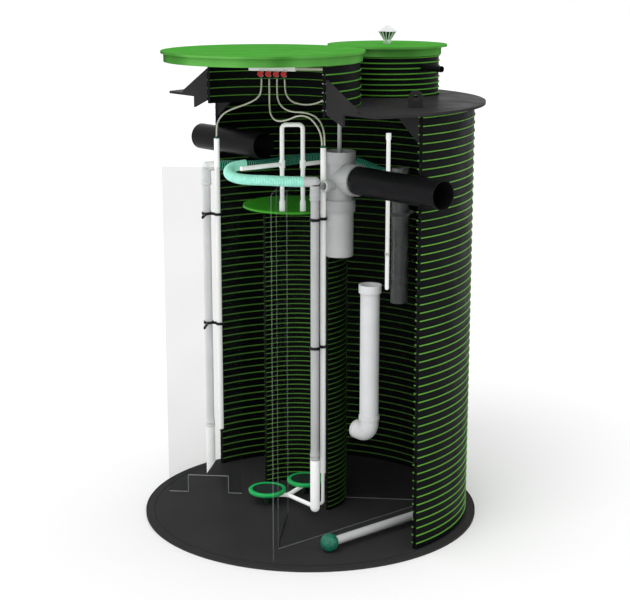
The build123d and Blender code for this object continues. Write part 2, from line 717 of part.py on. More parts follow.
# Air manifold with its valves, knobs and connectors, and the supply pipe through the riser's wall
manifold_corner = manifold_length / 2 - manifold_shift
manifold_out = sqrt(
    (main_riser_radius - main_riser_wall - fit_gap) ** 2 - manifold_corner**2) - manifold_depth / 2
manifold_frame = Pos(0, main_riser_y, 0) * Rot(0, 0, manifold_turn) * Pos(manifold_shift, manifold_out, 0)
manifold_low = manifold_z - manifold_height / 2
manifold_body = box_between(
    -manifold_length / 2, manifold_length / 2, -manifold_depth / 2, manifold_depth / 2,
    manifold_low, manifold_low + manifold_height)
air_manifold = manifold_frame * fillet(manifold_body.edges().filter_by(Axis.X), 8)
valves = []
knobs = []
connectors = []
valve_spots = []
valve_bottom = manifold_low - valve_drop
for i in range(valve_count):
    x = valve_offset + (i - (valve_count - 1) / 2) * valve_pitch
    spot = manifold_frame * Pos(x, 0, 0)
    place = (spot.position.X, spot.position.Y)
    valve_spots.append(place)
    valve = bar((x, 0, valve_bottom), (x, 0, manifold_low), valve_radius)
    valve += bar((x, 0, manifold_low - 16), (x, -manifold_depth / 2 - 2, manifold_low - 16), valve_radius * 0.7)
    valves.append(manifold_frame * valve)
    knob_start = -manifold_depth / 2 - 2
    knobs.append(manifold_frame * bar(
        (x, knob_start, manifold_low - 16), (x, knob_start - knob_length, manifold_low - 16), knob_radius))
    connectors.append(bar((*place, valve_bottom - connector_height), (*place, valve_bottom), connector_radius))
supply_start = manifold_frame * Pos(manifold_length / 2, 0, manifold_z)
supply_end = manifold_frame * Pos(manifold_length / 2 + supply_reach, 0, manifold_z)
supply_ends = (tuple(supply_start.position), tuple(supply_end.position))
supply_pipe = pipe(*supply_ends, supply_radius, 2.0)
main_riser -= bar(*supply_ends, supply_radius + fit_gap)

# Connectors on top of the air pipes and of the sampling pipe
left_air_outlet = left_air_top + connector_height
connectors.append(bar((*left_air_at, left_air_top), (*left_air_at, left_air_outlet), connector_radius))
pair = [
    (front_air_at[0] + side * hose_pair_offset * 0.634, front_air_at[1] + side * hose_pair_offset * 0.774)
    for side in (-1, 1)
]
front_air_outlet = front_air_top + connector_height
for spot in pair:
    connectors.append(bar((*spot, front_air_top), (*spot, front_air_outlet), connector_radius - 1))
sampling_outlet = sampling_pipe_top + connector_height
connectors.append(bar((*sampling_at, sampling_pipe_top), (*sampling_at, sampling_outlet), connector_radius))

# Air hoses, each from a valve to the head of its pipe
hose_z = valve_bottom - connector_height
v1, v2, v3, v4 = valve_spots
hose_routes = {
    "air_hose_1": [
        (*v1, hose_z), (*v1, 2520), (-404, -66, 2472), (-446, -108, 2438), (-502, -160, 2412),
        (-560, -200, 2383), (-600, -219, 2340), (*left_air_at, 2295), (*left_air_at, left_air_outlet)],
    "air_hose_2": [
        (*v2, hose_z), (*v2, 2510), (-338, -36, 2432), (-297, -62, 2378), (-220, -80, 2347),
        (-108, -88, 2362), (10, -94, 2404), (122, -102, 2402), (206, -110, 2352),
        (*pair[0], 2296), (*pair[0], front_air_outlet)],
    "air_hose_3": [
        (*v3, hose_z), (*v3, 2525), (-299, -7, 2468), (-240, -22, 2425), (-140, -30, 2405),
        (-20, -34, 2414), (84, -46, 2407), (158, -62, 2387), (212, -80, 2350), (241, -94, 2312),
        (*pair[1], 2276), (*pair[1], front_air_outlet)],
    "air_hose_4": [
        (*v4, hose_z), (*v4, 2530), (-262, 32.5, 2487), (-218, 35.5, 2456), (-150, 40, 2446),
        (-70, 43.5, 2447), (14, 46, 2464), (88, 46, 2496), (152, 43.4, 2528), (180, 41.8, 2529),
        (203, 40.6, 2515), (*sampling_at, 2491), (*sampling_at, sampling_outlet)],
}

# Ribbed hoses: one from the front lift that ends in the open, one from the left lift to the sludge pipe
front_mouth = toward(front_lift_at, front_fitting_turn, lift_fitting_length, lift_fitting_z)
front_straight = toward(front_lift_at, front_fitting_turn, lift_fitting_length + 90, lift_fitting_z)
left_mouth = toward(left_lift_at, left_fitting_turn, lift_fitting_length, lift_fitting_z)
left_straight = toward(left_lift_at, left_fitting_turn, lift_fitting_length + 72, lift_fitting_z)
ribbed_routes = {
    "return_hose": [
        front_mouth, front_straight, (54, -352, 2056), (-42, -404, 2052), (-150, -424, 2050),
        (-246, -410, 2060), (-312, -362, 2078), (-334, -296, 2092), (-306, -238, 2098)],
    "sludge_hose": [
        left_mouth, left_straight, (-572, -84, 2050), (-527, -8, 2048), (-516, 96, 2050),
        (-534, 214, 2052), (-550, 336, 2054), (-540, 462, 2054), (-492, 584, 2050), (-420, 690, 2028),
        (-346, 764, 1992), (-266, sludge_side[1], sludge_inlet_z), sludge_side],
}

parts = {
    "base_plate": base_plate,
    "tank_wall": tank_wall,
    "top_disc": top_disc,
    "main_riser": main_riser,
    "main_lid": main_lid,
    "small_riser": small_riser,
    "small_lid": small_lid,
    "vent_cage": vent_cage,
    "vent_cone": vent_cone,
    "riser_stub": riser_stub,
    "lifting_lug": lifting_lug,
    "gussets": gussets,
    "inlet_pipe": inlet_pipe,
    "outlet_pipe": outlet_pipe,
    "outlet_tee": outlet_tee,
    "drop_pipe": drop_pipe,
    "sampling_pipe": sampling_pipe,
    "inner_chamber": inner_chamber,
    "chamber_cover": chamber_cover,
    "cover_frame": cover_frame,
    "front_left_sheet": front_left_sheet,
    "front_right_sheet": front_right_sheet,
    "back_right_sheet": back_right_sheet,
    "cross_sheet": cross_sheet,
    "transfer_pipe": transfer_pipe,
    "transfer_elbow": transfer_elbow,
    "sludge_pipe": sludge_pipe,
    "level_pipe": level_pipe,
    "front_lift_pipe": front_lift_pipe,
    "front_lift_fitting": front_lift_fitting,
    "front_lift_foot": front_lift_foot,
    "front_air_pipe": front_air_pipe,
    "left_lift_pipe": left_lift_pipe,
    "left_lift_fitting": left_lift_fitting,
    "left_lift_foot": left_lift_foot,
    "left_air_pipe": left_air_pipe,
    "lift_clips": front_lift_clips + left_lift_clips,
    "back_clips": back_clips,
    "diffusers": diffusers,
    "membranes": membranes,
    "diffuser_feed": diffuser_feed,
    "floor_pipe": floor_pipe,
    "floor_pipe_saddle": saddle,
    "strainer": strainer,
    "air_manifold": air_manifold,
    "valves": valves,
    "valve_knobs": knobs,
    "hose_connectors": connectors,
    "supply_pipe": supply_pipe,
}
for name, route in hose_routes.items():
    parts[name] = hose(route, hose_radius, name)
for name, route in ribbed_routes.items():
    parts[name] = hose(route, ribbed_radius, name)

os.makedirs("parts", exist_ok=True)
for name, shape in parts.items():
    if isinstance(shape, list):
        shape = Compound(children=[solid for piece in shape for solid in piece.solids()])
    export_step(shape, f"parts/{name}.step")
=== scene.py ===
import logging
import math
from dataclasses import dataclass
from enum import Enum

import bpy
import numpy as np
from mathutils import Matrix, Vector


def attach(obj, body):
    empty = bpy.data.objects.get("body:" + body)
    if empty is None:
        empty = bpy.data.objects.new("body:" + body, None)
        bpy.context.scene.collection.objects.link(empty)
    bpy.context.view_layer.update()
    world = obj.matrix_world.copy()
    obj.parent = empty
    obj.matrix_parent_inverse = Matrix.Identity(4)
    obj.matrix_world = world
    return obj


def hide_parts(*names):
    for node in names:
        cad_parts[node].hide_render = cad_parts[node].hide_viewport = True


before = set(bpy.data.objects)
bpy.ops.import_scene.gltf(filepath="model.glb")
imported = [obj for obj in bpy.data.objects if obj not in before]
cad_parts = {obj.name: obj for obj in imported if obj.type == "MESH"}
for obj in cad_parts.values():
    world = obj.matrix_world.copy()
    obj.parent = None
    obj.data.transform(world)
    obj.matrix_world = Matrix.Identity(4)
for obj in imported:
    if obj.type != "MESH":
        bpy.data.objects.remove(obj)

log = logging.getLogger("plant")
Colour = tuple[float, float, float]
Point = tuple[float, float, float]
Pair = tuple[float, float]
Output = bpy.types.NodeSocket
Material = bpy.types.Material
Piece = bpy.types.Object

CHAMBER_AT: Pair = (-0.145, 0.0)
MAIN_RISER_AT: Pair = (0.0, -0.338)
SMALL_RISER_AT: Pair = (0.0, 0.593)
EVEN: Point = (1.0, 1.0, 1.0)


class Slot(Enum):
    """Material slots of the record; the free hoses take their finish from theirs."""

    TANK = "tank_black"
    PLATE = "plate_grey"
    CREAM = "hose_cream"
    MINT = "hose_mint"
    GREEN = "hose_green"
    GREY = "pipe_grey"
    CHROME = "vent_chrome"
    CLIP = "clip_black"


class FarEnd(Enum):
    """What a free hose ends in."""

    PLANT = "object"
    OPEN = "bare"


class Stiffness(Enum):
    """How far a free hose gives way."""

    SOFT_WALL = "medium"
    RIBBED_WALL = "stiff"


@dataclass(frozen=True)
class Winding:
    """Even seams of a wall: the height that they are counted from, and the step between two."""

    start: float
    pitch: float

    def seam(self, number: int) -> float:
        """Height of a seam, counted from 1."""
        return self.start + self.pitch * number


TANK_WINDING = Winding(0.007, 0.0463)
CHAMBER_WINDING = Winding(0.010, 0.0308)
RISER_WINDING = Winding(2.4396, 0.0474)


def linear(red: int, green: int, blue: int) -> Colour:
    """Turns a colour of 0 to 255 per channel into the linear one that shaders take."""
    shares = np.array((red, green, blue)) / 255.0
    curve = np.where(shares <= 0.04045, shares / 12.92, ((shares + 0.055) / 1.055) ** 2.4)
    return tuple(curve.tolist())


def scaled(colour: Colour, factor: float) -> Colour:
    """A colour made darker or lighter by a factor, capped at white."""
    return tuple(min(1.0, channel * factor) for channel in colour)


class Board:
    """Node board of a material or world, with a short way to add nodes."""

    def __init__(self, tree: bpy.types.NodeTree) -> None:
        """Takes over a node tree."""
        self.tree = tree

    def feed(self, node: bpy.types.Node, values: dict) -> None:
        """Fills a node's inputs.

        Args:
            node: The node.
            values: Its inputs by name or number: an output to link, or the input's own value.
        """
        for key, value in values.items():
            if isinstance(value, Output):
                self.tree.links.new(value, node.inputs[key])
            else:
                node.inputs[key].default_value = value

    def add(self, kind: str, values: dict | None = None, **settings: str) -> bpy.types.Node:
        """Adds a node.

        Args:
            kind: Its kind.
            values: Its inputs, as in feed.
            settings: Its own properties.

        Returns:
            The node.
        """
        node = self.tree.nodes.new(kind)
        for name, setting in settings.items():
            setattr(node, name, setting)
        self.feed(node, values or {})
        return node

    def sum_up(self, step: str, first: Output, second: Output | float = 0.0) -> Output:
        """One step of arithmetic, by the Math node's name for it."""
        return self.add("ShaderNodeMath", {0: first, 1: second}, operation=step).outputs[0]


class Finish(Board):
    """Board of one material, with its shader and the piece's own coordinates ready."""

    def __init__(self, name: str) -> None:
        """Starts a material with a Principled shader.

        Args:
            name: The material's name.
        """
        self.material = bpy.data.materials.new(name)
        self.material.use_nodes = True
        super().__init__(self.material.node_tree)
        self.shader = self.tree.nodes["Principled BSDF"]
        self.place = self.add("ShaderNodeTexCoord").outputs["Object"]

    def shade(self, values: dict) -> None:
        """Fills inputs of the shader."""
        self.feed(self.shader, values)

    def noise(self, scale: float, detail: float = 2.0, stretch: Point = EVEN) -> Output:
        """Cloudy noise over the piece's own coordinates.

        Args:
            scale: Clouds per metre.
            detail: Octaves of finer noise.
            stretch: Factor on each axis before the noise is read.

        Returns:
            The noise, around 0.5.
        """
        mapping = self.add("ShaderNodeMapping", {"Scale": stretch, "Vector": self.place})
        values = {"Scale": scale, "Detail": detail, "Vector": mapping.outputs["Vector"]}
        return self.add("ShaderNodeTexNoise", values).outputs["Fac"]

    def spread(self, source: Output, start: float, end: float, low: float = 0.0,
               high: float = 1.0) -> Output:
        """Maps a value's range from start to end onto low to high, held at both ends."""
        values = {"Value": source, "From Min": start, "From Max": end, "To Min": low, "To Max": high}
        return self.add("ShaderNodeMapRange", values).outputs["Result"]

    def clouds(self, scale: float, low: float = 0.0, high: float = 1.0, detail: float = 3.0,
               stretch: Point = EVEN, cut: float = 0.3) -> Output:
        """Noise spread from low to high, less a share cut off at either end."""
        return self.spread(self.noise(scale, detail, stretch), cut, 1.0 - cut, low, high)

    def blend(self, share: Output, first: Output | Colour, second: Output | Colour) -> Output:
        """Mixes two colours: a share of 0 gives the first one, 1 the second."""
        ends = [(*end, 1.0) if isinstance(end, tuple) else end for end in (first, second)]
        return self.add("ShaderNodeMix", {0: share, 6: ends[0], 7: ends[1]}, data_type="RGBA").outputs[2]

    def relief(self, height: Output, depth: float, strength: float = 1.0) -> None:
        """Adds a bump below the ones already on the shader.

        Args:
            height: Height from 0 to 1.
            depth: Metres between 0 and 1.
            strength: How strongly it shows.
        """
        node = self.add("ShaderNodeBump", {"Distance": depth, "Strength": strength, "Height": height})
        normal = self.shader.inputs["Normal"]
        if normal.is_linked:
            self.feed(node, {"Normal": normal.links[0].from_socket})
        self.shade({"Normal": node.outputs["Normal"]})

    def upright(self, vector: Output) -> Output:
        """A vector's upright share."""
        return self.add("ShaderNodeSeparateXYZ", {"Vector": vector}).outputs["Z"]

    def facing(self) -> Output:
        """Normal of the face."""
        return self.add("ShaderNodeNewGeometry").outputs["True Normal"]

    def radius_from(self, centre: Pair) -> Output:
        """Distance from the upright axis at a place in plan."""
        plan = self.add("ShaderNodeMapping", {
            "Location": (-centre[0], -centre[1], 0.0), "Scale": (1.0, 1.0, 0.0), "Vector": self.place})
        length = self.add("ShaderNodeVectorMath", {0: plan.outputs["Vector"]}, operation="LENGTH")
        return length.outputs["Value"]


@dataclass(frozen=True)
class Plastic:
    """Moulded or extruded plastic: mottled colour, uneven gloss, a fine grain and an optional painted glow.
    """

    name: str
    colour: Colour
    mottle: float = 0.10
    patch: float = 7.0
    roughness: float = 0.42
    unevenness: float = 0.08
    grain: float = 700.0
    grain_depth: float = 0.00012
    gloss: float = 0.4
    ior: float = 1.45
    # painted_glow: emission of the plastic's own colour, painted light that lifts a piece lying in shade
    painted_glow: float = 0.0
    stretch: Point = EVEN

    def base(self, finish: Finish) -> Output:
        """Colour of the plastic, darker and lighter in clouds."""
        ends = [scaled(self.colour, factor) for factor in (1.0 - self.mottle, 1.0 + self.mottle)]
        return finish.blend(finish.clouds(self.patch, detail=4.0, stretch=self.stretch, cut=0.32), *ends)

    def detail(self, finish: Finish) -> None:
        """Adds what is special to the finish; plain plastic has nothing more."""

    def paint(self) -> Material:
        """Makes the material.

        Returns:
            The finished material.
        """
        finish = Finish(self.name)
        colour = self.base(finish)
        # Painted light: the colour also glows, so the piece reads lighter than its shade
        if self.painted_glow > 0.0:
            finish.shade({"Emission Color": colour, "Emission Strength": self.painted_glow})
        smooth = max(0.04, self.roughness - self.unevenness)
        rough = finish.clouds(self.patch * 2.3, smooth, self.roughness + self.unevenness,
                              stretch=self.stretch)
        finish.shade({"Base Color": colour, "Roughness": rough, "Specular IOR Level": self.gloss,
                      "IOR": self.ior})
        finish.relief(finish.noise(self.grain), self.grain_depth, 0.6)
        self.detail(finish)
        return finish.material


@dataclass(frozen=True)
class BandedWall(Plastic):
    """Wall wound from bands: each band swells a little between two seams."""

    winding: Winding = TANK_WINDING
    swell: float = 0.0016

    def detail(self, finish: Finish) -> None:
        """Swells each band by 1 less 4 times the square of its height share less one half.

        Args:
            finish: The material's board.
        """
        height = finish.sum_up("SUBTRACT", finish.upright(finish.place), self.winding.start)
        bands = finish.sum_up("MULTIPLY", height, 1.0 / self.winding.pitch)
        off = finish.sum_up("SUBTRACT", finish.sum_up("FRACT", bands), 0.5)
        bow = finish.sum_up("MULTIPLY", finish.sum_up("MULTIPLY", off, off), -4.0)
        finish.relief(finish.sum_up("ADD", bow, 1.0), self.swell, 0.8)


@dataclass(frozen=True)
class RibbedWall(Plastic):
    """Wall whose ribs have their own colour beyond a radius from its axis."""

    centre: Pair = (0.0, 0.0)
    root: float = 0.5
    rib: Colour = (0.1, 0.4, 0.06)
    edge: Pair = (0.001, 0.0022)

    def base(self, finish: Finish) -> Output:
        """Wall's colour up to the root of the ribs, theirs above it."""
        start, end = (self.root + margin for margin in self.edge)
        return finish.blend(finish.spread(finish.radius_from(self.centre), start, end),
                            super().base(finish), self.rib)


@dataclass(frozen=True)
class Footed(Plastic):
    """Moulded dish whose foot, below a height, is painted darker as the shade under the dish."""

    # Darkened green of the foot: painted shade under the dish
    foot: Colour = (0.006, 0.030, 0.016)
    level: float = 0.088
    edge: float = 0.002

    def base(self, finish: Finish) -> Output:
        """Darker foot colour below the level, painted shade under the dish; the dish's own colour above it.
        """
        share = finish.spread(finish.upright(finish.place), self.level - self.edge, self.level)
        return finish.blend(share, self.foot, super().base(finish))


@dataclass(frozen=True)
class LidPlastic(Plastic):
    """Moulded lid whose upright skirt has painted shade, darker than its top, and painted streaks of light.
    """

    # Painted shade and painted light of the skirt: a dark and a light green, mixed in upright streaks
    skirt_painted_shade: Colour = (0.025, 0.135, 0.012)
    skirt_painted_light: Colour = (0.12, 0.40, 0.078)
    streaks: float = 3.1
    painted_streak_range: Pair = (0.38, 0.68)

    def base(self, finish: Finish) -> Output:
        """Top colour on level faces; painted shade and streaks of painted light on upright ones.

        Args:
            finish: The material's board.

        Returns:
            The colour.
        """
        level = finish.spread(finish.sum_up("ABSOLUTE", finish.upright(finish.facing())), 0.3, 0.7)
        # Painted light: streaks that lighten the skirt's painted shade
        painted_light_streak = finish.spread(finish.noise(self.streaks, 1.0, (1.0, 1.0, 0.05)), *self.painted_streak_range)
        skirt = finish.blend(painted_light_streak, self.skirt_painted_shade, self.skirt_painted_light)
        return finish.blend(level, skirt, super().base(finish))


@dataclass(frozen=True)
class RibbedHose(Plastic):
    """Ribbed hose: crests in the hose's colour, valleys and bore darkened as painted shade, read from the
    piece's crest attribute.
    """

    # Darker colour of the valleys and the bore: painted shade in the creases
    valley_painted_shade: Colour = (0.0, 0.05, 0.03)
    low: float = 0.15
    high: float = 0.75

    def base(self, finish: Finish) -> Output:
        """Colour from the valleys' painted shade to the crest's own colour."""
        crest = finish.add("ShaderNodeAttribute", attribute_name="crest").outputs["Fac"]
        return finish.blend(finish.spread(crest, self.low, self.high), self.valley_painted_shade, super().base(finish))


@dataclass(frozen=True)
class Membrane(Plastic):
    """Rubber membrane with rows of fine slits."""

    cells: float = 130.0
    cell_depth: float = 0.0008

    def detail(self, finish: Finish) -> None:
        """Presses small cells into the rubber."""
        cells = finish.add("ShaderNodeTexVoronoi", {"Scale": self.cells, "Vector": finish.place})
        finish.relief(cells.outputs["Distance"], self.cell_depth, 0.9)


@dataclass(frozen=True)
class ClearSheet:
    """Clear sheet that dims what is behind it, with pale sawn edges."""

    name: str
    along: Point
    faces_alpha: float = 0.05
    edges_alpha: float = 0.15
    haze: float = 0.008
    tint: Colour = (0.012, 0.014, 0.014)
    edge: Colour = (0.50, 0.54, 0.52)

    def paint(self) -> Material:
        """Makes the material; an edge is a face that looks up, down or along the sheet.

        Returns:
            The finished material.
        """
        finish = Finish(self.name)
        facing = finish.facing()
        end = finish.add("ShaderNodeVectorMath", {0: facing, 1: self.along}, operation="DOT_PRODUCT")
        shares = (finish.upright(facing), end.outputs["Value"])
        level = finish.sum_up("MAXIMUM", *(finish.sum_up("ABSOLUTE", share) for share in shares))
        cover = finish.spread(level, 0.5, 0.9, self.faces_alpha, self.edges_alpha)
        finish.shade({
            "Base Color": finish.blend(finish.spread(level, 0.5, 0.9), self.tint, self.edge),
            "Alpha": finish.sum_up("ADD", cover, finish.clouds(3.0, -self.haze, self.haze)),
            "Roughness": finish.clouds(5.0, 0.05, 0.12),
            "Specular IOR Level": 0.0,
        })
        return finish.material


@dataclass(frozen=True)
class Polished:
    """Polished metal with faint turning marks."""

    name: str
    colour: Colour = (0.86, 0.87, 0.88)
    marks: float = 500.0
    mark_depth: float = 0.0002

    def paint(self) -> Material:
        """Makes the material.

        Returns:
            The finished material.
        """
        finish = Finish(self.name)
        finish.shade({
            "Base Color": finish.blend(finish.clouds(30.0), scaled(self.colour, 0.9), self.colour),
            "Metallic": 1.0,
            "Roughness": finish.clouds(60.0, 0.14, 0.26, detail=2.0),
        })
        finish.relief(finish.noise(self.marks, stretch=(0.2, 0.2, 1.0)), self.mark_depth, 0.5)
        return finish.material


class Looks:
    """Finishes of the plant: by material slot of the record, and special ones by their own name."""

    def __init__(self) -> None:
        """Lists the finishes; each is made once, when it is first asked for."""
        black = linear(13, 14, 16)
        green = linear(62, 152, 38)
        wall = {"gloss": 0.04, "roughness": 0.5}
        ribbed = {**wall, "patch": 4.0, "rib": linear(84, 150, 52)}
        lid = {"mottle": 0.05, "roughness": 0.45, "gloss": 0.3, "ior": 1.03}
        white = {"mottle": 0.025, "roughness": 0.36}
        northeast = (0.7071, 0.7071, 0.0)
        southeast = (0.7071, -0.7071, 0.0)
        self.made: dict[str, Material] = {}
        self.finishes = {
            "plate_grey": Plastic(
                "plate_grey_sheet", linear(50, 49, 50), roughness=0.34, gloss=0.3, ior=1.04, patch=2.5),
            "base_plate": Plastic(
                "base_plate_sheet", linear(54, 54, 54), mottle=0.05, roughness=0.22, unevenness=0.03,
                gloss=0.4, ior=1.03, patch=2.5),
            "tank_black": BandedWall("tank_black_bands", black, patch=3.0, **wall),
            "chamber_bands": BandedWall(
                "chamber_black_bands", black, patch=5.0, winding=CHAMBER_WINDING, swell=0.0011, **wall),
            "main_riser_ribs": RibbedWall(
                "main_riser_black", black, centre=MAIN_RISER_AT, root=0.543, **ribbed),
            "small_riser_ribs": RibbedWall(
                "small_riser_black", black, centre=SMALL_RISER_AT, root=0.309, **ribbed),
            "seam_green": Plastic(
                "seam_green_weld", linear(92, 150, 54), mottle=0.16, patch=3.0, gloss=0.12, roughness=0.5),
            "lid_green": LidPlastic("lid_green_moulded", green, patch=4.0, **lid),
            "cover_green": Plastic(
                "cover_green_moulded", green, mottle=0.05, roughness=0.4, gloss=0.12, patch=9.0),
            "vent_chrome": Polished("vent_polished"),
            "vent_bars": Plastic(
                "vent_bars_satin", linear(226, 228, 230), mottle=0.05, patch=50.0, roughness=0.3),
            # Dark core inside the vent's cage: painted shade seen between the bars
            "vent_shade_core": Plastic("vent_shade_core_painted", linear(44, 50, 44), mottle=0.15, patch=40.0, gloss=0.2),
            "tee_grey": Plastic("tee_satin", linear(176, 177, 178), mottle=0.07, patch=9.0, roughness=0.36),
            # painted_glow on the clips: painted light
            "back_clips": RibbedWall(
                "back_clips_moulded", linear(236, 237, 236), gloss=0.3, patch=20.0, painted_glow=0.2,
                centre=(0.25, 0.386), root=0.150, rib=linear(96, 97, 99)),
            "pipe_black": Plastic(
                "pipe_black_satin", linear(20, 20, 22), roughness=0.33, gloss=0.07,
                stretch=(0.3, 1.0, 1.0)),
            "pipe_grey": Plastic("pipe_grey_satin", linear(196, 197, 198), mottle=0.05, roughness=0.38),
            # painted_glow on these white and grey pipes and feet: painted light that lifts them out of the
            # tank's shade
            "pipe_white": Plastic("pipe_white_satin", linear(242, 243, 242), painted_glow=0.12, **white),
            "foot_white": Plastic(
                "foot_white_satin", linear(246, 247, 246), mottle=0.025, roughness=0.34, painted_glow=0.34),
            "level_white": Plastic(
                "level_pipe_satin", linear(242, 243, 242), mottle=0.03, roughness=0.36, painted_glow=0.7),
            "left_lift_grey": Plastic(
                "left_lift_satin", linear(232, 233, 234), mottle=0.04, roughness=0.38, painted_glow=0.13),
            "transfer_white": Plastic("transfer_satin", linear(214, 215, 216), mottle=0.04, roughness=0.36),
            "pipe_dark_grey": Plastic(
                "pipe_dark_grey_satin", linear(158, 159, 161), mottle=0.08, roughness=0.28, gloss=0.6),
            "clear_sheet": ClearSheet("cross_sheet_clear", (0.0, 1.0, 0.0)),
            "front_left_sheet": ClearSheet("front_left_sheet_clear", northeast, faces_alpha=0.108),
            "front_right_sheet": ClearSheet("front_right_sheet_clear", southeast),
            "back_right_sheet": ClearSheet("back_right_sheet_clear", northeast, faces_alpha=0.03),
            "clip_black": Plastic("clip_black_moulded", linear(26, 26, 28), gloss=0.2, patch=40.0),
            "diffuser_green": Footed(
                "diffuser_green_moulded", linear(34, 190, 100), mottle=0.06, patch=20.0),
            "membrane_rubber": Membrane("membrane_slit", linear(36, 46, 44), roughness=0.6, gloss=0.2),
            "fitting_teal": Plastic("fitting_teal_moulded", linear(30, 108, 86), mottle=0.4, patch=60.0),
            "knob_red": Plastic("knob_red_moulded", linear(206, 40, 38), mottle=0.06, patch=60.0),
            "hose_cream": Plastic("hose_cream_soft", linear(214, 211, 194), mottle=0.04, patch=18.0),
            # painted_glow on both hoses: painted light
            "hose_mint": RibbedHose(
                "hose_mint_ribs", linear(176, 244, 226), mottle=0.13, patch=55.0, painted_glow=0.08,
                valley_painted_shade=linear(112, 214, 186)),
            # valley_painted_shade: painted shade in the valleys and the bore, near black on the green hose
            "hose_green": RibbedHose(
                "hose_green_ribs", linear(96, 224, 184), mottle=0.12, patch=12.0, painted_glow=0.15,
                valley_painted_shade=linear(2, 18, 13), low=0.90, high=1.0),
            "bead_pale": Plastic("bead_pale_weld", linear(150, 156, 152), mottle=0.12, patch=30.0),
        }
        groups = {
            "chamber_bands": ("inner_chamber",), "main_riser_ribs": ("main_riser",),
            "small_riser_ribs": ("small_riser",), "cover_green": ("chamber_cover",),
            "left_lift_grey": ("left_lift_pipe", "left_lift_fitting"), "level_white": ("level_pipe",),
            "transfer_white": ("transfer_pipe", "transfer_elbow"), "tee_grey": ("outlet_tee",),
            "foot_white": ("front_lift_foot", "left_lift_foot", "left_air_pipe", "diffuser_feed"),
        }
        own = ("base_plate", "back_clips", "front_left_sheet", "front_right_sheet", "back_right_sheet")
        self.special = {name: finish for finish, names in groups.items() for name in names}
        self.special.update((name, name) for name in own)

    def material(self, name: str) -> Material:
        """Finish by its name, painted on first use.

        Args:
            name: Slot of the record, or name of a special finish.

        Returns:
            The material.
        """
        if name not in self.made:
            self.made[name] = self.finishes[name].paint()
        return self.made[name]

    def dress(self) -> None:
        """Gives every CAD node the finish of its slot, or its special one."""
        for name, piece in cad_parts.items():
            finish = self.special.get(name, piece.data.materials[0].name)
            piece.data.materials[0] = self.material(finish)
            log.info("%s: %s", name, finish)


def settle(piece: Piece, material: Material, replaces: tuple[str, ...] = ()) -> None:
    """Dresses a rigid piece and puts it on the plant's one body.

    Args:
        piece: The piece.
        material: Its material.
        replaces: CAD nodes that it stands for.
    """
    piece.data.materials.append(material)
    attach(piece, "root")
    if replaces:
        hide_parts(*replaces)
    log.info("%s: %d faces", piece.name, len(piece.data.polygons))


def show(name: str, data: bpy.types.ID) -> Piece:
    """Puts an object in the scene, at the origin.

    Args:
        name: Object's name.
        data: Its mesh, curve, camera or lamp.

    Returns:
        The object.
    """
    piece = bpy.data.objects.new(name, data)
    bpy.context.scene.collection.objects.link(piece)
    return piece


def mesh_piece(name: str, points: np.ndarray, quads: np.ndarray,
               caps: tuple[tuple[int, ...], ...] = ()) -> Piece:
    """Makes an object at the origin from points and faces.

    Args:
        name: Object's name.
        points: N by 3 array of points, in metres.
        quads: M by 4 array of point numbers, wound to face outward.
        caps: Faces with more corners, as tuples of point numbers.

    Returns:
        The object, linked to the scene.
    """
    mesh = bpy.data.meshes.new(name)
    mesh.from_pydata(points.tolist(), [], quads.tolist() + [list(cap) for cap in caps])
    mesh.validate()
    mesh.shade_smooth()
    mesh.set_sharp_from_angle(angle=math.radians(40.0))
    return show(name, mesh)


def grid_quads(rows: int, columns: int, start: int = 0) -> np.ndarray:
    """Quads between the rows of a grid whose columns close on themselves.

    Args:
        rows: Number of rows of points.
        columns: Points in a row.
        start: Number of the grid's first point.

    Returns:
        Array of quads, wound so that rows that turn right-handed about their path face outward.
    """
    row = np.arange(rows - 1)[:, None] * columns
    column = np.arange(columns)[None, :]
    after = (column + 1) % columns
    quads = np.stack([row + column, row + after, row + columns + after, row + columns + column], axis=-1)
    return quads.reshape(-1, 4) + start


def block_piece(name: str, corners: np.ndarray) -> Piece:
    """Piece of six-sided blocks, reversed where the product of a block's three edges is negative.

    Args:
        name: Object's name.
        corners: N by 8 by 3 array: four corners in turn on one side, and the four across from them.

    Returns:
        The object.
    """
    sides = np.array([(3, 2, 1, 0), (4, 5, 6, 7), (0, 1, 5, 4), (1, 2, 6, 5), (2, 3, 7, 6), (3, 0, 4, 7)])
    if np.linalg.det(corners[0, (1, 3, 4), :] - corners[0, 0]) < 0.0:
        sides = sides[:, ::-1]
    quads = np.arange(len(corners))[:, None, None] * 8 + sides[None]
    return mesh_piece(name, corners.reshape(-1, 3), quads.reshape(-1, 4))


def route_curve(name: str, route: tuple[Point, ...], radius: float, resolution: int = 14) -> Piece:
    """NURBS curve of one open spline through the ends of a route.

    Args:
        name: Object's name.
        route: Control points in millimetres, in the part's frame.
        radius: Bevel radius in metres; 0 leaves a bare line.
        resolution: Steps between two control points.

    Returns:
        The curve object, linked to the scene.
    """
    curve = bpy.data.curves.new(name, "CURVE")
    curve.dimensions = "3D"
    spline = curve.splines.new("NURBS")
    spline.points.add(len(route) - 1)
    for point, place in zip(spline.points, route):
        point.co = (place[0] / 1000.0, place[1] / 1000.0, place[2] / 1000.0, 1.0)
    spline.order_u = 3
    spline.use_endpoint_u = True
    spline.resolution_u = resolution
    curve.bevel_depth = radius
    curve.bevel_resolution = 5
    curve.use_fill_caps = True
    return show(name, curve)


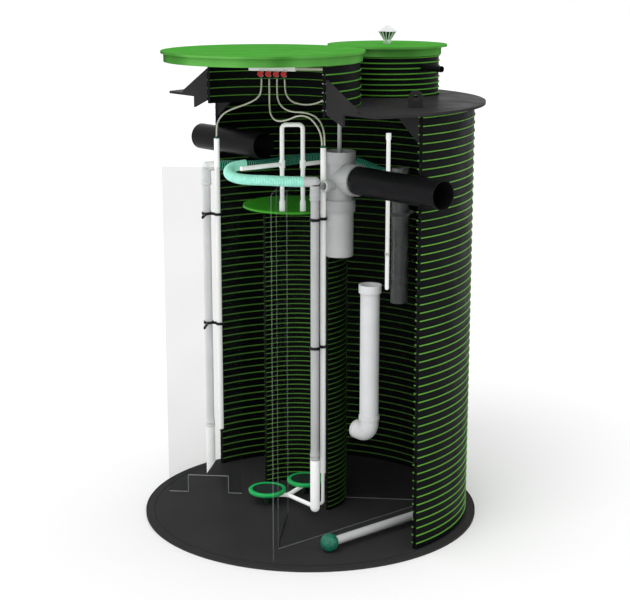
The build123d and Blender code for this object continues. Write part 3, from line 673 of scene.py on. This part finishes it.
def route_line(name: str, route: tuple[Point, ...], step: float) -> np.ndarray:
    """Even points along a route's NURBS: each distance's place is read off the measured line.

    Args:
        name: Name for the helper curve.
        route: Control points in millimetres.
        step: Distance between two points, in metres.

    Returns:
        Points in metres, from one end to the other.
    """
    helper = route_curve(name, route, 0.0, 40)
    mesh = bpy.data.meshes.new_from_object(helper)
    line = np.empty(len(mesh.vertices) * 3)
    mesh.vertices.foreach_get("co", line)
    line = line.reshape(-1, 3)
    bpy.data.meshes.remove(mesh)
    bpy.data.curves.remove(helper.data)
    along = np.concatenate([[0.0], np.cumsum(np.linalg.norm(np.diff(line, axis=0), axis=1))])
    even = np.linspace(0.0, along[-1], int(round(along[-1] / step)) + 1)
    return np.stack([np.interp(even, along, line[:, axis]) for axis in range(3)], axis=1)


def frames_along(line: np.ndarray) -> tuple[np.ndarray, np.ndarray]:
    """Two directions across a line at each of its points.

    The first one is carried on from point to point, less its share along the line; the second is
    the cross product of the line's direction and the first.

    Args:
        line: N by 3 array of points.

    Returns:
        First and second direction, each N by 3.
    """
    tangent = np.gradient(line, axis=0)
    tangent /= np.linalg.norm(tangent, axis=1)[:, None]
    first = np.empty_like(line)
    side = np.cross(tangent[0], (0.0, 0.0, 1.0))
    side = side if np.linalg.norm(side) > 0.1 else np.cross(tangent[0], (1.0, 0.0, 0.0))
    for number, along in enumerate(tangent):
        side = side - along * float(side @ along)
        side /= np.linalg.norm(side)
        first[number] = side
    return first, np.cross(tangent, first)


@dataclass(frozen=True)
class Cable:
    node: str
    route: tuple[Point, ...]
    length: float
    slot: Slot = Slot.CREAM
    diameter: float = 0.010
    far_end: FarEnd = FarEnd.PLANT
    stiffness: Stiffness = Stiffness.SOFT_WALL

    def settle(self, piece: Piece, material: Material, path: list[Point] | None = None) -> None:
        """Args:
            piece: The hose.
            material: Its material.
            path: Points that a mesh tube follows; not used.
        """
        piece.data.materials.append(material)
        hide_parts(self.node)
        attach(piece, "root")
        log.info("%s: %.3f m long", piece.name, self.length)


@dataclass(frozen=True)
class AirHose(Cable):
    """Smooth air hose."""

    def build(self, material: Material) -> None:
        """Builds the hose as a curve with a round bevel."""
        self.settle(route_curve(f"{self.node}_run", self.route, self.diameter / 2.0), material)


@dataclass(frozen=True)
class CorrugatedHose(Cable):
    """Hose with a rib every pitch along it."""

    slot: Slot = Slot.GREEN
    diameter: float = 0.060
    stiffness: Stiffness = Stiffness.RIBBED_WALL
    pitch: float = 0.0120
    depth: float = 0.0050
    wall: float = 0.0035
    sides: int = 28
    rings: int = 8
    bore_ribs: int = 5

    def build(self, material: Material) -> None:
        """Builds the hose as a surface along the route, open at both ends with the wall's rim.

        The radius at a distance s is the crest's radius less the depth times the square of
        (1 - cos(2 pi s / pitch)) / 2, so crests are broad and valleys narrow. The bore follows inside
        for a few ribs at both ends and is closed there by a disc.

        Args:
            material: Its material.
        """
        step = self.pitch / self.rings
        line = route_line(f"{self.node}_line", self.route, step)
        first, second = frames_along(line)
        along = np.arange(len(line)) * step
        dip = ((1.0 - np.cos(2.0 * np.pi * along / self.pitch)) / 2.0) ** 2
        radius = self.diameter / 2.0 - self.depth * dip
        turn = np.linspace(0.0, 2.0 * np.pi, self.sides, endpoint=False)[None, :, None]
        spread = first[:, None, :] * np.cos(turn) + second[:, None, :] * np.sin(turn)
        outside = line[:, None, :] + spread * radius[:, None, None]
        reach = self.bore_ribs * self.rings
        bore = self.diameter / 2.0 - self.depth - self.wall
        inside = line[:, None, :] + spread * bore
        rows = np.concatenate([inside[:reach][::-1], outside, inside[-reach:][::-1]], axis=0)
        quads = grid_quads(len(rows), self.sides)
        last = (len(rows) - 1) * self.sides
        caps = (tuple(range(self.sides - 1, -1, -1)), tuple(range(last, last + self.sides)))
        piece = mesh_piece(f"{self.node}_run", rows.reshape(-1, 3), quads, caps)
        # Crest share: the bore is 0, so it takes the valleys' painted shade
        crest = np.concatenate([np.zeros(reach), 1.0 - dip, np.zeros(reach)])
        layer = piece.data.attributes.new("crest", "FLOAT", "POINT")
        layer.data.foreach_set("value", np.repeat(crest, self.sides))
        self.settle(piece, material, [tuple(point) for point in line[::self.rings].tolist()])


@dataclass
class SubAssembly:
    """Group of the plant's pieces, built in the plant's finishes."""

    looks: Looks

    def finish(self, name: str) -> Material:
        """Material by its finish's name."""
        return self.looks.material(name)


@dataclass
class FreeHoses(SubAssembly):
    """The six free hoses, with their routes in millimetres."""

    hose_z: float = 2584.0

    def air(self) -> list[AirHose]:
        """The four air hoses under the manifold.

        Returns:
            Hoses in the order of their valves.
        """
        start = self.hose_z
        routes = (
            ("air_hose_1", 0.504, (
                (-389.5, -55.1, start), (-389.5, -55.1, 2520), (-404, -66, 2472), (-446, -108, 2438),
                (-502, -160, 2412), (-560, -200, 2383), (-600, -219, 2340), (-590, -245, 2295),
                (-590, -245, 2238))),
            ("air_hose_2", 0.858, (
                (-351.9, -26.2, start), (-351.9, -26.2, 2510), (-338, -36, 2432), (-297, -62, 2378),
                (-220, -80, 2347), (-108, -88, 2362), (10, -94, 2404), (122, -102, 2402),
                (206, -110, 2352), (241.7, -112, 2296), (241.7, -112, 2254))),
            ("air_hose_3", 0.771, (
                (-314.2, 2.7, start), (-314.2, 2.7, 2525), (-299, -7, 2468), (-240, -22, 2425),
                (-140, -30, 2405), (-20, -34, 2414), (84, -46, 2407), (158, -62, 2387), (212, -80, 2350),
                (241, -94, 2312), (251.3, -100.4, 2276), (251.3, -100.4, 2254))),
            ("air_hose_4", 0.661, (
                (-276.5, 31.7, start), (-276.5, 31.7, 2530), (-262, 32.5, 2487), (-218, 35.5, 2456),
                (-150, 40, 2446), (-70, 43.5, 2447), (14, 46, 2464), (88, 46, 2496), (152, 43.4, 2528),
                (180, 41.8, 2529), (203, 40.6, 2515), (216.5, 39.8, 2491), (216.5, 39.8, 2447))),
        )
        return [AirHose(node, route, length) for node, length, route in routes]

    def back_flow(self) -> CorrugatedHose:
        """The mint hose from the front lift, open at its far end."""
        route = (
            (202.2, -209.8, 2052), (138.5, -273.5, 2052), (54, -352, 2056), (-42, -404, 2052),
            (-150, -424, 2050), (-246, -410, 2060), (-312, -362, 2078), (-334, -296, 2092),
            (-306, -238, 2098))
        return CorrugatedHose("return_hose", route, 0.733, Slot.MINT, far_end=FarEnd.OPEN, pitch=0.0091,
                              depth=0.0022)

    def sludge(self) -> CorrugatedHose:
        """The green hose from the left lift to the sludge pipe."""
        route = (
            (-646, -216.1, 2052), (-627.3, -146.6, 2052), (-572, -84, 2050), (-527, -8, 2048),
            (-516, 96, 2050), (-534, 214, 2052), (-550, 336, 2054), (-540, 462, 2054), (-492, 584, 2050),
            (-420, 690, 2028), (-346, 764, 1992), (-266, 798, 1960), (-180, 798, 1960))
        return CorrugatedHose("sludge_hose", route, 1.260)

    def build(self) -> None:
        """Builds all six."""
        for hose in (*self.air(), self.back_flow(), self.sludge()):
            hose.build(self.finish(hose.slot.value))


@dataclass(frozen=True)
class Seams:
    """Green seam rings that cross a cut wall from its bore to its outside."""

    name: str
    centre: Pair
    inner: float
    outer: float
    thick: float
    winding: Winding
    count: int
    steps: int
    holes: tuple[tuple[float, float, float], ...] = ()
    inset: float = 0.0006
    clearance: float = 0.0005

    def profile(self) -> np.ndarray:
        """Ring's section: radius and height, rounded on the inside and outside.

        Returns:
            12 by 2 array of points, turning right-handed about the ring's path.
        """
        half = self.thick / 2.0
        bend = np.linspace(-np.pi / 2.0, np.pi / 2.0, 6)
        out = np.stack([self.outer - half + half * np.cos(bend), half * np.sin(bend)], axis=1)
        back = np.stack([self.inner + half - half * np.cos(bend), -half * np.sin(bend)], axis=1)
        return np.concatenate([out, back])

    def span(self, height: float) -> Pair:
        """Angles at which a ring starts and ends, clear of the pipes in its way.

        Args:
            height: Ring's height.

        Returns:
            Start and end angle in radians.
        """
        low = math.asin(self.inset / self.inner)
        high = math.pi - low
        for side, level, radius in self.holes:
            off = abs(height - level)
            if off < radius:
                clear = math.asin(math.sqrt(radius ** 2 - off ** 2) / self.inner) + self.clearance
                low, high = (clear, high) if side > 0.0 else (low, math.pi - clear)
        return low, high

    def build(self, material: Material) -> None:
        """Builds all rings as one piece: the profile turned about the wall's axis at each seam's height.

        Args:
            material: Finish of the seams.
        """
        section = self.profile()
        size = len(section)
        points, quads, caps = [], [], []
        for number in range(self.count):
            height = self.winding.seam(number + 1)
            angle = np.linspace(*self.span(height), self.steps + 1)[:, None]
            start = number * (self.steps + 1) * size
            last = start + self.steps * size
            x = self.centre[0] + section[None, :, 0] * np.cos(angle)
            y = self.centre[1] + section[None, :, 0] * np.sin(angle)
            z = np.broadcast_to(height + section[None, :, 1], x.shape)
            points.append(np.stack([x, y, z], axis=-1).reshape(-1, 3))
            quads.append(grid_quads(self.steps + 1, size, start)[:, ::-1])
            caps += [tuple(range(start, start + size)), tuple(range(last + size - 1, last - 1, -1))]
        piece = mesh_piece(self.name, np.concatenate(points), np.concatenate(quads), tuple(caps))
        settle(piece, material)


@dataclass(frozen=True)
class Turned:
    """Piece turned about an axis from a closed profile of radius and height.

    A lying one turns about a line along Y, with centre as its X and Z and the height as Y.
    """

    name: str
    slot: Slot
    centre: Pair
    profile: tuple[Pair, ...]
    steps: int = 64
    lying: bool = False

    def build(self, material: Material, replaces: tuple[str, ...] = ()) -> None:
        """Builds the piece: each point of the profile goes round the axis in even steps.

        The profile runs outward along its top side and back underneath.

        Args:
            material: Its material.
            replaces: CAD nodes that it stands for.
        """
        section = np.array(self.profile)
        turn = np.linspace(0.0, 2.0 * np.pi, self.steps, endpoint=False)
        x = self.centre[0] + section[:, None, 0] * np.cos(turn)[None, :]
        y = self.centre[1] + section[:, None, 0] * np.sin(turn)[None, :]
        z = np.broadcast_to(section[:, None, 1], x.shape)
        rows = len(section)
        quads = grid_quads(rows + 1, self.steps)[:, ::-1] % (rows * self.steps)
        if self.lying:
            y, z = z, y
            quads = quads[:, ::-1]
        piece = mesh_piece(self.name, np.stack([x, y, z], axis=-1).reshape(-1, 3), quads)
        settle(piece, material, replaces)


@dataclass(frozen=True)
class Blocks:
    """Row of small boxes at even steps along a line, each given by its three edges."""

    name: str
    slot: Slot
    start: Point
    along: Point
    across: Point
    rise: Point
    step: Point = (0.0, 0.0, 0.0)
    count: int = 1

    def build(self, material: Material) -> None:
        """Builds the boxes: corners at plus and minus the half edges about each centre.

        Args:
            material: Its material.
        """
        ring = ((-1, -1), (1, -1), (1, 1), (-1, 1))
        signs = np.array([(a, b, c) for c in (-1, 1) for a, b in ring])
        corners = signs @ np.array([self.along, self.across, self.rise]) / 2.0
        centres = np.array(self.start) + np.arange(self.count)[:, None] * np.array(self.step)
        settle(block_piece(self.name, centres[:, None, :] + corners[None]), material)


@dataclass
class Walls(SubAssembly):
    """Green seams of the tank, the inner chamber and the main riser, with their ends at the cuts.

    Inlet and outlet give a pipe's side, its height and the radius that is kept clear round it.
    """

    inlet: Point = (-1.0, 2.175, 0.0815)
    outlet: Point = (1.0, 2.065, 0.0815)
    tank_end: Point = (0.011, 0.006, 0.0065)
    riser_end: Point = (0.009, 0.005, 0.0052)

    def build(self) -> None:
        """Builds the tank's rings, the ends of seams at the cuts, and the rings further in."""
        green = self.finish("seam_green")
        Seams("tank_seams", (0.0, 0.0), 0.911, 0.950, 0.0065, TANK_WINDING, 53, 120,
              (self.inlet, self.outlet)).build(green)
        for name, x, y, winding, first, count, (long, wide, high), finish in (
                ("low_seam_ends", 0.9165, -0.001, TANK_WINDING, 1, 42, self.tank_end, "seam_green"),
                ("high_seam_ends", 0.9165, -0.001, TANK_WINDING, 47, 7, self.tank_end, "seam_green"),
                ("riser_seam_ends", 0.5245, -0.339, RISER_WINDING, 1, 6, self.riser_end, "bead_pale")):
            Blocks(name, Slot.TANK, (x, y, winding.seam(first)), (long, 0.0, 0.0), (0.0, wide, 0.0),
                   (0.0, 0.0, high), (0.0, 0.0, winding.pitch), count).build(self.finish(finish))
        Seams("chamber_seams", CHAMBER_AT, 0.2885, 0.3145, 0.0050, CHAMBER_WINDING, 59, 48).build(green)
        Seams("main_riser_seams", MAIN_RISER_AT, 0.5185, 0.5400, 0.0052, RISER_WINDING, 6,
              96).build(green)


@dataclass
class Vent(SubAssembly):
    """Vent on the small lid: a neck, a cage of slanted bars and a pointed cap."""

    lid_top: float = 2.782
    neck: float = 0.0235
    neck_top: float = 2.806
    rim: float = 0.0565
    rim_low: float = 2.855
    rim_top: float = 2.861
    tip: float = 2.894
    core_gap: float = 0.010
    pole: float = 0.0005
    sunk: float = 0.001
    lip: float = 0.002
    bars: int = 14
    bar: float = 0.0058

    def cage(self) -> None:
        """Builds the bars: each runs from the neck's edge out to the rim, with a square section."""
        turn = np.arange(self.bars) * 2.0 * np.pi / self.bars
        out = np.stack([np.cos(turn), np.sin(turn), np.zeros(self.bars)], axis=1)
        side = np.stack([-np.sin(turn), np.cos(turn), np.zeros(self.bars)], axis=1) * self.bar / 2.0
        ends = ((self.neck, self.neck_top - self.sunk), (self.rim - self.sunk, self.rim_low + self.sunk))
        section = ((0.0, -1.0), (0.0, 1.0), (self.bar, 1.0), (self.bar, -1.0))
        corners = [np.array((*SMALL_RISER_AT, height)) + out * (radius - inward) + side * sign
                   for radius, height in ends for inward, sign in section]
        piece = block_piece("vent_bars", np.stack(corners, axis=1))
        settle(piece, self.finish("vent_bars"), ("vent_cage",))

    def build(self) -> None:
        """Builds the cap with its rim, the neck, the dark core that paints the shade inside the cage, and
        the bars between them.
        """
        foot = self.lid_top - self.sunk
        cap = ((self.pole, self.rim_low), (self.pole, self.tip), (0.006, self.tip - self.lip),
               (self.rim - 2.0 * self.lip, self.rim_top), (self.rim, self.rim_top - self.lip),
               (self.rim, self.rim_low))
        neck = ((self.pole, foot), (self.pole, self.neck_top), (self.neck, self.neck_top),
                (self.neck, foot))
        # Dark core: painted shade seen between the bars
        core = ((self.pole, self.neck_top), (self.pole, self.rim_low),
                (self.rim - self.core_gap, self.rim_low), (self.neck - 0.006, self.neck_top))
        for name, finish, profile, stands_for in (
                ("vent_cap", "vent_chrome", cap, ("vent_cone",)),
                ("vent_neck", "vent_chrome", neck, ()),
                ("vent_shade_core", "vent_shade_core", core, ())):
            Turned(name, Slot.CHROME, SMALL_RISER_AT, profile).build(self.finish(finish), stands_for)
        self.cage()


@dataclass
class Plates(SubAssembly):
    """Lugs that hang under the disc in line with the upper gussets, and the rims of the base plate."""

    thick: float = 0.015
    lug_in: float = 0.5505
    lug_out: float = 0.688
    disc_under: float = 2.475
    lug_low_in: float = 2.466
    lug_low_out: float = 2.411
    plate_top: float = 0.0165

    def lug(self, name: str, side: float) -> None:
        """One lug: four corners, drawn out to its thickness.

        Args:
            name: Piece's name.
            side: -1 for the left one, 1 for the right one.
        """
        corners = ((self.lug_in, self.disc_under), (self.lug_out, self.disc_under),
                   (self.lug_out, self.lug_low_out), (self.lug_in, self.lug_low_in))
        front = MAIN_RISER_AT[1]
        points = [(side * x, y, z) for y in (front, front + self.thick) for x, z in corners]
        settle(block_piece(name, np.array([points])), self.finish("plate_grey"))

    def build(self) -> None:
        """Builds both lugs and the two rims."""
        self.lug("left_riser_lug", -1.0)
        self.lug("right_riser_lug", 1.0)
        low = self.plate_top
        for name, radius, top in (("base_inner_rim", 0.955, 0.0195), ("base_outer_rim", 1.002, 0.0185)):
            profile = ((radius - 0.004, low), (radius - 0.002, top), (radius + 0.002, top),
                       (radius + 0.0025, low))
            Turned(name, Slot.PLATE, (0.0, 0.0), profile, 160).build(self.finish("plate_grey"))


@dataclass
class TeeCollar(SubAssembly):
    """Collar round the open end of the tee's side stub."""

    at: Pair = (0.290, 2.030)
    outer: float = 0.034
    bore: float = 0.0225
    end: float = -0.1395
    back: float = -0.1120
    edge: float = 0.003

    def build(self) -> None:
        """Builds the collar with broken edges."""
        shoulder = self.outer - self.edge
        profile = ((self.bore, self.end), (self.bore, self.back), (shoulder, self.back),
                   (self.outer, self.back - self.edge), (self.outer, self.end + self.edge),
                   (shoulder, self.end))
        Turned("tee_collar", Slot.GREY, self.at, profile, lying=True).build(self.finish("pipe_grey"))


@dataclass
class LiftSockets(SubAssembly):
    """Beaded sockets at both ends of the two lift pipes."""

    front: Pair = (0.246, -0.166)
    left: Pair = (-0.662, -0.276)
    lower: Pair = (0.398, 0.458)
    bore: float = 0.0245
    bead: float = 0.0025
    bead_heights: Pair = (0.030, 0.008)
    bead_foot: float = 0.007
    bead_crest: float = 0.004

    def profile(self, low: float, top: float, radius: float) -> tuple[Pair, ...]:
        """Section of a socket, with a bead at its lower end and one a little above.

        Args:
            low: Height of its lower end.
            top: Height of its upper end.
            radius: Its radius between the beads.

        Returns:
            Points of radius and height.
        """
        points = [(self.bore, low), (self.bore, top), (radius - 0.002, top), (radius, top - 0.006)]
        foot, crest = self.bead_foot, self.bead_crest
        for height in self.bead_heights:
            for rise, out in ((foot, 0.0), (crest, self.bead), (-crest, self.bead), (-foot, 0.0)):
                points.append((radius + out, low + height + rise))
        return tuple(points)

    def build(self) -> None:
        """Builds the four sockets."""
        for name, at, (low, top), radius, finish in (
                ("front_upper_socket", self.front, (1.945, 2.030), 0.0285, "pipe_grey"),
                ("left_upper_socket", self.left, (1.938, 2.036), 0.0295, "left_lift_grey"),
                ("front_lower_socket", self.front, self.lower, 0.0270, "pipe_grey"),
                ("left_lower_socket", self.left, self.lower, 0.0270, "left_lift_grey")):
            Turned(name, Slot.GREY, at, self.profile(low, top, radius), 48).build(self.finish(finish))


@dataclass
class SheetTrim(SubAssembly):
    """Weld spots, beads and edging at the feet of the sheets."""

    floor: float = 0.017
    middle: float = 0.001
    notch_top: float = 0.129
    edging_across: float = 0.0046
    edging_side: float = 0.0018
    edging_rise: float = 0.002

    def build(self) -> None:
        """Builds the spots, the beads and the edging."""
        pale = self.finish("bead_pale")
        z = self.floor + self.middle
        Blocks("cross_sheet_spots", Slot.GREY, (0.4445, -0.590, z), (0.004, 0.0, 0.0), (0.0, 0.007, 0.0),
               (0.0, 0.0, 0.003), (0.0, 0.0158, 0.0), 74).build(pale)
        Blocks("back_sheet_bead", Slot.GREY, (0.235, 0.392, z), (0.335, 0.335, 0.0),
               (0.002, -0.002, 0.0), (0.0, 0.0, 0.003)).build(pale)
        Blocks("front_sheet_bead", Slot.CLIP, (0.240, -0.402, z), (0.380, -0.380, 0.0),
               (0.003, 0.003, 0.0), (0.0, 0.0, 0.004)).build(self.finish("clip_black"))
        self.edge_notch(pale)

    def edge_notch(self, pale: Material) -> None:
        """Edges the left sheet's notched foot: a foot, a side, the notch's top, a side and a foot.

        Args:
            pale: Material of the edging.
        """
        low = self.floor + self.middle
        half = (low + self.notch_top) / 2.0
        side = (self.edging_side, self.notch_top - self.floor)
        flat = self.edging_rise
        strips = (((-0.6763, -0.5143, low), (0.0862, flat)), ((-0.6342, -0.4722, half), side),
                  ((-0.5442, -0.3822, self.notch_top), (0.1781, flat)), ((-0.4541, -0.2921, half), side),
                  ((-0.4250, -0.2631, low), (0.0601, flat)))
        across = (-self.edging_across, self.edging_across, 0.0)
        for number, (centre, (run, rise)) in enumerate(strips, 1):
            Blocks(f"left_sheet_edging_{number}", Slot.GREY, centre, (run, run, 0.0), across,
                   (0.0, 0.0, rise)).build(pale)


def aim(piece: Piece, towards: Point) -> None:
    """Turns a camera or lamp to look or shine in a direction."""
    piece.rotation_euler = Vector(towards).to_track_quat("-Z", "Y").to_euler()


@dataclass
class Studio:
    """Camera, floor, background and light."""

    position: Point = (6.5475, -5.3276, 3.2928)
    forward: Point = (-0.75286, 0.61668, -0.22992)
    lens: float = 83.25
    sensor: float = 36.0
    floor_size: float = 120.0
    sky: float = 0.94
    key: float = 0.9
    key_angle: float = 40.0
    key_towards: Point = (-0.21, 0.69, -0.9)

    def camera(self) -> None:
        """Sets the camera at the photo's angle."""
        data = bpy.data.cameras.new("Camera")
        data.lens = self.lens
        data.sensor_width = self.sensor
        data.sensor_fit = "HORIZONTAL"
        data.clip_end = 200.0
        camera = show("Camera", data)
        camera.location = self.position
        aim(camera, self.forward)
        bpy.context.scene.camera = camera

    def floor(self) -> None:
        """Lays a plain white floor under the base plate."""
        half = self.floor_size / 2.0
        points = np.array([(-half, -half, 0.0), (half, -half, 0.0), (half, half, 0.0), (-half, half, 0.0)])
        piece = mesh_piece("Floor", points, np.array([(0, 1, 2, 3)]))
        finish = Finish("floor_white")
        white = finish.blend(finish.clouds(0.4, detail=2.0), (0.955, 0.955, 0.955), (0.965, 0.965, 0.965))
        finish.shade({"Base Color": white, "Roughness": 0.9, "Specular IOR Level": 0.0})
        piece.data.materials.append(finish.material)

    def light(self) -> None:
        """Sets an even sky that the camera and mirrors see as white, and a soft key lamp on its left."""
        world = bpy.data.worlds.new("White")
        bpy.context.scene.world = world
        world.use_nodes = True
        board = Board(world.node_tree)
        board.tree.nodes.clear()
        path = board.add("ShaderNodeLightPath")
        seen = path.outputs["Is Camera Ray"]
        for name in ("Is Glossy Ray", "Is Transmission Ray"):
            seen = board.sum_up("MAXIMUM", seen, path.outputs[name])
        mix = board.add("ShaderNodeMixShader", {0: seen})
        for number, strength in enumerate((self.sky, 1.0), 1):
            white = {"Color": (1.0, 1.0, 1.0, 1.0), "Strength": strength}
            board.feed(mix, {number: board.add("ShaderNodeBackground", white).outputs[0]})
        board.add("ShaderNodeOutputWorld", {"Surface": mix.outputs[0]})
        lamp = bpy.data.lights.new("Key", "SUN")
        lamp.energy = self.key
        lamp.angle = math.radians(self.key_angle)
        aim(show("Key", lamp), self.key_towards)
        bpy.context.scene.view_settings.view_transform = "Standard"


def main() -> None:
    """Builds the scene in order."""
    logging.basicConfig(level=logging.INFO, format="%(message)s")
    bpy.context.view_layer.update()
    studio = Studio()
    studio.camera()
    looks = Looks()
    for group in (FreeHoses, Walls, Vent, Plates, TeeCollar, LiftSockets, SheetTrim):
        log.info("%s", group.__name__)
        group(looks).build()
    looks.dress()
    studio.floor()
    studio.light()


if __name__ == "__main__":
    main()
